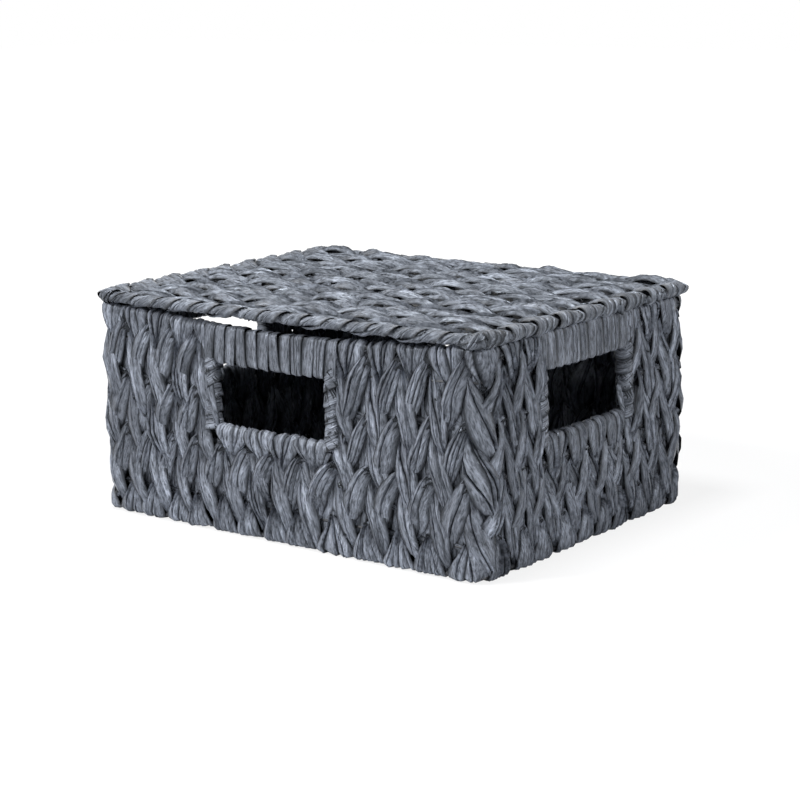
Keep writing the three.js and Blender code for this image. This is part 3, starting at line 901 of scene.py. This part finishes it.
# Above the sills no strand crosses a hand hole, and under them the middle band is cut short. A
# strand that is left out near a hole still takes its random draws.
hole_margin = 0.008
top_band_margin = 0.009
middle_band_margin = 0.002
sill_margin = 0.004
inner_margin = 0.005
backing_margin = 0.009
short_foot_drop = 0.011
short_rising_top = 0.0655
short_falling_top = 0.0680
backing_drop = 0.004
backing_rise = 0.003
backing_slant = 0.002
lowest_foot = 0.005


def weave(band, low, high, rising, column, before, top, after):
    """Keeps one strand of a band, from a top to the valley before or after it, and what lies behind."""
    shift = rising_shift if rising else falling_shift
    upper = (top + wobble(0.0012) + shift, high + wobble(0.0012))
    overlap = close_overlap if column in close_columns else wide_overlap
    foot = before - valley_overlap if rising else after + overlap
    lower = (foot + wobble(0.002), low + wobble(0.0025))
    middle = (upper[0] + lower[0]) / 2
    beside = top_band_margin if band == "top" else middle_band_margin
    if band != "bottom" and in_hole(middle, hole_margin, beside):
        if band == "middle":
            short_top, flatten = (short_rising_top, 0.5) if rising else (short_falling_top, 0.85)
            ends = (lower[0], low - short_foot_drop), (upper[0], short_top)
            keep(passing(*ends, rising, flatten=flatten, wide=0.85))
        return
    proud = (0.85 if rising else 1.2) if column in left_columns else 1.0
    keep(passing(lower, upper, rising, flatten=proud * fullness(middle)))
    if band == "top" and in_hole(middle, 2 * hole_margin, beside + hole_margin):
        return
    inner_place = passing(lower, upper, rising, inner=True, wide=1.5)
    if band == "bottom" or not in_hole(upper[0], inner_margin, inner_margin):
        keep(inner_place)
    if rising or middle < right_wall_end:
        foot = (lower[0], max(lower[1] - backing_drop, lowest_foot))
        head = (lower[0] + backing_slant, upper[1] + backing_rise)
        backing_place = passing(foot, head, True, flatten=0.11, wide=1.9)
        if band == "bottom" or not in_hole(lower[0], backing_margin, backing_margin):
            keep(backing_place)


# Behind each top hangs a short strand. Folded ends sit on the rim, the sills and the foot, and a thin
# strand runs round each row wire, in the darkest tone as painted shade.
heavy_low, heavy_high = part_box("base_ring_wire")
thin_low, thin_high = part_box("row_wire_1")
heavy_wire_radius = (heavy_high.z - heavy_low.z) / 2
row_wire_radius = (thin_high.z - thin_low.z) / 2
rim_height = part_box("rim_wire")[1].z - heavy_wire_radius
sill_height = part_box("hole_bottom_wire")[1].z - row_wire_radius
foot_height = 0.0046
fold_width = 0.0235
sill_fold_width = 0.0190
fold_turn = 0.05
hanging_foot = (0.0075, -0.030)
hanging_head = (0.0020, -0.002)
low_rows = (0.0222, 0.0408, 0.0594)
hole_rows = (sill_height, 0.1032, 0.1284)
row_gap = 0.002
row_margin = 0.011
row_depth = 0.001
row_strand_size = (0.45, 0.3, 0.62)
for column, (before, top, after) in enumerate(zip(valleys_before, tops, valleys)):
    for row in rows:
        weave(*row, column, before, top, after)
    edge = sill_height if in_hole(top, sill_margin, sill_margin) else rim_height
    ends = [(top + aside, edge + above) for aside, above in (hanging_foot, hanging_head)]
    keep(passing(*ends, False, inner=True, wide=1.3))
    on_sill = in_hole(after, sill_margin, sill_margin)
    wide = (following_tops[column] - top) / (sill_fold_width if on_sill else fold_width)
    long = 1.2 if on_sill else 1.0
    kind = first_fold + dice.randrange(fold_kinds)
    turn = (wobble(0.04), wobble(0.05), fold_turn)
    size = (wide, fullness(after) ** 0.4, long + wobble(0.06))
    keep(((after, 0, sill_height if on_sill else rim_height), turn, size, kind, dice.random()))
    kind = first_fold + dice.randrange(fold_kinds)
    turn = (math.pi + wobble(0.04), wobble(0.08), fold_turn)
    size = ((after - before) / fold_width, 1.12, 0.95 + wobble(0.08))
    keep(((top + wobble(0.002), 0, foot_height), turn, size, kind, dice.random()))
    for height in low_rows + hole_rows:
        if height in hole_rows and in_hole(after, row_gap, row_gap):
            continue
        kind = dice.randrange(2 * leaf_kinds)
        turn = (0, math.pi / 2 + wobble(0.06), 0)
        if height in low_rows or not in_hole(after, row_margin, row_margin):
            # A row strand gets the darkest tone: painted shade in the gap where it lies.
            keep(((after, row_depth, height), turn, row_strand_size, kind, 0.0))

for wall in holes:
    name = f"{wall}_wall_strands"
    piece = lay(name, places_of[wall], wall_kinds, basket_ribbon, wall_plan, rim_sag, wall_belly)
    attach(piece, "basket")
    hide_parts(f"{wall}_wall_weave")

# The handle bars over the hand holes: ribbon wound round the rim wire and the wire below it, each
# turn laid a little over the last. The posts beside each hole are bound with rounder, slanting turns.
turn_width = 0.0095
turn_kind_count = 4
bar_height = 0.1380
bar_outset = 0.0006
post_aside = 0.0041
post_foot = 0.0835
post_turns = 5
post_pitch = 0.0102
# The bar turns take only the darker tones, up to this one: painted shade on their flat, strongly lit faces.
bar_tone_limit_for_painted_shade = 0.42


def wound_turn(number, half_deep, half_high, half_wide, slip, tilt=0.0003, power=0.42):
    """One closed turn of ribbon round a bar: squarish at a low power, and round at 1."""

    def path(t):
        angle = 2 * math.pi * (t + 0.5)
        y, z = -math.cos(angle), math.sin(angle)
        y = math.copysign(abs(y) ** power, y)
        z = math.copysign(abs(z) ** power, z)
        return y * half_deep, z * half_high

    def sway(t):
        return slip * math.sin(2 * math.pi * t)

    return strand(
        f"wound turn {number}", 60 + number, plies=1 + number % 3, steps=20, path=path,
        half_width=lambda t: half_wide, sway=sway, crown=0.0002, arch=0.0006, closed=True, tilt=tilt,
    )


bar_turn = {"half_deep": 0.0042, "half_high": 0.0128, "half_wide": 0.52 * turn_width}
post_turn = {"half_deep": 0.0049, "half_high": 0.0049, "half_wide": 0.0066, "tilt": 0.0007, "power": 0.8}
turn_kinds = strand_box(
    "turns",
    [wound_turn(number, slip=wobble(0.0015), **bar_turn) for number in range(turn_kind_count)]
    + [
        wound_turn(number + turn_kind_count, slip=0.0036 + wobble(0.001), **post_turn)
        for number in range(turn_kind_count)
    ],
)
for wall, (left, right) in holes.items():
    count = round((right - left) / turn_width)
    step = (right - left) / count
    places = []
    for number in range(-1, count + 1):
        spot = (left + step * (number + 0.5), -bar_outset, bar_height)
        size = (step / turn_width * (1 + wobble(0.08)), 1 + wobble(0.04), 1 + wobble(0.02))
        # Painted shade: the bar turns' tone is kept low because the lamps light their flat faces strongly.
        shade = bar_tone_limit_for_painted_shade * dice.random()
        places.append((spot, (0, wobble(0.06), 0), size, dice.randrange(turn_kind_count), shade))
    for post in (left - post_aside, right + post_aside):
        for number in range(post_turns):
            turn = (0, math.pi / 2 + wobble(0.1), 0)
            size = (0.85 + wobble(0.1), 1 + wobble(0.05), 1 + wobble(0.08))
            kind = turn_kind_count + dice.randrange(turn_kind_count)
            places.append(((post, 0, post_foot + number * post_pitch), turn, size, kind, dice.random()))
    name = f"{wall}_handle_turns"
    piece = lay(name, places, turn_kinds, basket_ribbon, wall_plan, rim_sag, wall_belly)
    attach(piece, "basket")
    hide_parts(f"handle_wrap_{wall}")

# The base: the walls' strands woven flat over the seven base wires, between the walls' folded ends.
# Each crossing has one strand seen from above and one seen from below.
base_low, base_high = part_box("base_weave")
base_level = (base_low.z + base_high.z) / 2 + 0.0012
base_width = base_high.x - base_low.x + 0.004
base_reach = base_high.y + 0.0045
base_columns = 13
base_period = 0.0408
base_strand = 1.36 * base_period
shortest_in_base = 0.012
column_pitch = base_width / base_columns
lying_along_y = Matrix(((1, 0, 0), (0, 0, 1), (0, -1, 0)))
places = []
for column in range(base_columns):
    top = column_pitch * (column + 0.5) - base_width / 2
    for band in range(math.ceil(2 * base_reach / base_period)):
        for rising in (True, False):
            high = base_reach - base_period * (band + (0.2 if rising else 0.46)) + wobble(0.0015)
            low = max(high - base_strand, -base_reach) + wobble(0.0015)
            if high - low < shortest_in_base:
                continue
            if band == 0 and rising:
                high = base_reach
            foot = top + column_pitch * (-0.5 if rising else 0.5)
            for below in (False, True):
                ends = (foot + wobble(0.0018), low), (top + wobble(0.0012), high)
                place, turn, size, kind, shade = passing(*ends, rising, below, flatten=0.5, wide=1.4)
                spot = lying_along_y @ Vector(place)
                turned = (lying_along_y @ Euler(turn).to_matrix()).to_euler()
                places.append(((spot.x, spot.y, base_level), tuple(turned), size, kind, shade))
piece = lay("base_strands", places, wall_kinds, basket_ribbon)
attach(piece, "basket")
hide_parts("base_weave")

# The lid: strands woven flat over fifteen ribs, with ends rolled over the ring wire at the two short
# edges. Between the strands seen from above lie broader ones that are seen from below.
# The lid's ribbon is the walls' ribbon painted darker: painted shade on the lid's top, which faces the
# overhead lamp.
lid_grey_painted_darker = (0.116, 0.127, 0.148)
lid_ribbon_painted_darker = ribbon_finish("blue grey lid ribbon painted darker", lid_grey_painted_darker, fibre_width=0.0008, bump_depth=0.0010)
ring_low, ring_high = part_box("lid_ring_wire")
ring_radius = (ring_high.z - ring_low.z) / 2
ring_x = ring_high.x - ring_radius
ring_y = ring_high.y - ring_radius
lid_level = (ring_low.z + ring_high.z) / 2
rib_pitch = 0.02029
ribs_each_side = 9
lid_columns = 9
lid_leaf_pairs = 6
rolled_kinds = 4
rolled_width = 0.0236
rolled_inset = 0.0004
under_drop = 0.0010
end_clearance = 0.006
lying_along_x = Matrix(((0, 0, 1), (-1, 0, 0), (0, -1, 0)))


def lid_strand(number):
    """One strand of the lid: a rounded hump over a rib that dives between its neighbours at both ends."""
    bulge = dice.uniform(0.0018, 0.0046)
    tuck = dice.uniform(0.0028, 0.0038)
    broad = dice.uniform(0.0050, 0.0070)
    lean = dice.uniform(0.009, 0.014) * (1 if number % 2 else -1)
    skew = dice.uniform(0.8, 1.25)

    def path(t):
        out = (bulge + tuck) * math.sin(math.pi * within(t) ** skew) ** 0.9 - tuck
        return -out, leaf_height * (t - 0.5)

    def sway(t):
        return lean * (t - 0.5)

    def half_width(t):
        return broad * (0.14 + 0.86 * math.sin(math.pi * within(t)) ** 0.75)

    return strand(
        "lid strand", 100 + number, plies=3 + number % 3, steps=11, path=path, half_width=half_width,
        sway=sway, crown=0.0013, arch=0.0013, spread=0.4,
    )


def rolled_end(number):
    """A strand end rolled over the ring wire at a short edge, its pleats gathered above and below."""
    roll = dice.uniform(0.0032, 0.0038)
    arc = 0.42

    def path(t):
        return over_wire(t, arc, roll, lift=0.0042, length=0.024, splay=0.0, pinch=0.0052, power=1.6)

    def half_width(t):
        return leg_width(t, arc / 1.1, tip=0.0022, more=0.0094, power=0.8)

    def sway(t):
        return 0.008 * (t - 0.5)

    return strand(
        "rolled end", 120 + number, plies=3 + number % 2, steps=18, path=path, half_width=half_width,
        sway=sway, crown=0.0006, arch=0.0014, tilt=0.0006,
    )


first_rolled = 2 * lid_leaf_pairs
lid_kinds = strand_box(
    "lid strands",
    [lid_strand(number) for number in range(first_rolled)]
    + [rolled_end(number) for number in range(rolled_kinds)],
)
places = []
column_pitch = 2 * ring_y / lid_columns
for column in range(lid_columns):
    for family in (0, 1):
        y = column_pitch * (column + 0.25 + 0.5 * family) - ring_y
        for rib in range(-ribs_each_side, ribs_each_side):
            if (rib + family) % 2:
                continue
            for under in (False, True):
                x = rib_pitch * (rib + under)
                if abs(x) > ring_x - end_clearance:
                    continue
                turn = lying_along_x @ Euler((0, wobble(0.07), math.pi if under else 0)).to_matrix()
                broad, deep = (1.55, 0.85) if under else (1.0, 1.1)
                size = (broad + wobble(0.14), deep + wobble(0.16), 1 + wobble(0.06))
                level = lid_level - (under_drop if under else 0)
                spot = (x + wobble(0.002), y + wobble(0.0014), level)
                kind = 2 * dice.randrange(lid_leaf_pairs) + family
                places.append((spot, tuple(turn.to_euler()), size, kind, dice.random()))
for side in (1, -1):
    for number in range(lid_columns):
        y = column_pitch * (number + 0.5) - ring_y
        turn = Matrix.Rotation(0 if side > 0 else math.pi, 3, "Z") @ lying_along_x
        turn = turn @ Euler((wobble(0.05), wobble(0.07), 0)).to_matrix()
        size = (column_pitch / rolled_width * (1 + wobble(0.05)), 1.0, 1 + wobble(0.06))
        spot = (side * (ring_x - rolled_inset), y + wobble(0.001), lid_level)
        kind = first_rolled + dice.randrange(rolled_kinds)
        places.append((spot, tuple(turn.to_euler()), size, kind, dice.random()))
piece = lay("lid_strands", places, lid_kinds, lid_ribbon_painted_darker)
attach(piece, "lid")
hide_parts("lid_weave")

# The lid's two long edges: slanting turns of the same ribbon round the ring wire. They go on round
# the corners, where they are narrower and closer together.
lid_corner_radius = 0.0103
lid_half_x = ring_x - lid_corner_radius
lid_half_y = ring_y - lid_corner_radius
lid_plan = plan_curve("lid ring line", lid_half_x, lid_half_y, lid_corner_radius)
quarter_arc = math.pi / 2 * lid_corner_radius
long_run = 2 * lid_half_x
back_start = long_run + 2 * lid_half_y + 2 * quarter_arc
edge_kind_count = 5
edge_pitch = 0.0193
edge_outset = 0.0006


def edge_turn(number):
    """One slanting turn round the ring wire: a flat strand, rolled round the wire afterwards."""
    around = math.radians(300)
    radius = 0.0050
    squash = 0.66
    broad = dice.uniform(0.0084, 0.0098)
    swell = dice.uniform(0.0004, 0.0012)

    def path(t):
        out = swell * math.sin(math.pi * within(t)) - 0.0012 * abs(2 * t - 1) ** 3
        return -out, around * radius * (t - 0.5)

    def sway(t):
        return 0.029 * (t - 0.5)

    def half_width(t):
        return broad * (0.6 + 0.4 * math.sin(math.pi * within(t)) ** 0.6)

    mesh = strand(
        f"edge turn {number}", 80 + number, plies=2, steps=16, path=path, half_width=half_width,
        sway=sway, crown=0.0005, arch=0.0004, tilt=0.0008,
    )
    for vertex in mesh.vertices:
        across, back, along = vertex.co
        reach = radius - back
        angle = along / radius
        vertex.co = (across, -reach * math.cos(angle), squash * reach * math.sin(angle))
    return mesh


edge_kinds = strand_box("edge strands", [edge_turn(number) for number in range(edge_kind_count)])
for side, start in (("front", 0.0), ("back", back_start)):
    places = []
    count = round((long_run + quarter_arc) / edge_pitch)
    step = (long_run + quarter_arc) / count
    for number in range(count + 1):
        spot = (start - quarter_arc / 2 + step * number + wobble(0.0015), edge_outset, lid_level)
        size = (1 + wobble(0.08), 1 + wobble(0.06), 1 + wobble(0.06))
        places.append((spot, (0, 0, 0), size, dice.randrange(edge_kind_count), dice.random()))
    for number in (-3, -2, -1, 1, 2, 3):
        corner = start + (long_run if number > 0 else 0)
        spot = (corner + quarter_arc * number / 4, edge_outset, lid_level)
        size = (0.5 + wobble(0.06), 1.1 + wobble(0.06), 1.3 + wobble(0.1))
        places.append((spot, (0, 0, 0), size, dice.randrange(edge_kind_count), dice.random()))
    piece = lay(f"lid_{side}_edge_turns", places, edge_kinds, lid_ribbon_painted_darker, lid_plan)
    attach(piece, "lid")
    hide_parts(f"lid_edge_wrap_{side}")

# The hinge: two loops of the same ribbon, each of three turns tied round the back rim wire and the
# lid ring.
loop_turns = 3
loop_deep = 0.0094
loop_high = 0.0176
loop_turn = {"half_deep": 0.0042, "half_high": 0.0083, "half_wide": 0.0031, "slip": 0.0}
loop_kinds = strand_box(
    "loop turns",
    [wound_turn(number + 2 * turn_kind_count, **loop_turn) for number in range(loop_turns)],
)
for side in ("left", "right"):
    low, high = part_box(f"hinge_loop_{side}")
    middle = (low + high) / 2
    places = []
    for number in range(loop_turns):
        spot = (low.x + (high.x - low.x) * (number + 0.5) / loop_turns, middle.y, middle.z)
        size = (1 + wobble(0.05), (high.y - low.y) / loop_deep, (high.z - low.z) / loop_high)
        places.append((spot, (0, wobble(0.03), 0), size, number, dice.random()))
    piece = lay(f"{side}_hinge_loop", places, loop_kinds, lid_ribbon_painted_darker)
    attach(piece, "lid")
    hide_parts(f"hinge_loop_{side}")

# The kinds of strand and the lines that they were laid along aren't part of the basket.
for kinds in (wall_kinds, turn_kinds, lid_kinds, edge_kinds, loop_kinds):
    for thing in list(kinds.objects):
        bpy.data.objects.remove(thing)
    bpy.data.collections.remove(kinds)
for line in (wall_plan[0], lid_plan[0]):
    bpy.data.objects.remove(line)

boxes = {"cad": cad_box, "visual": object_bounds()}
{name: [list(corner) for corner in box] for name, box in boxes.items()}
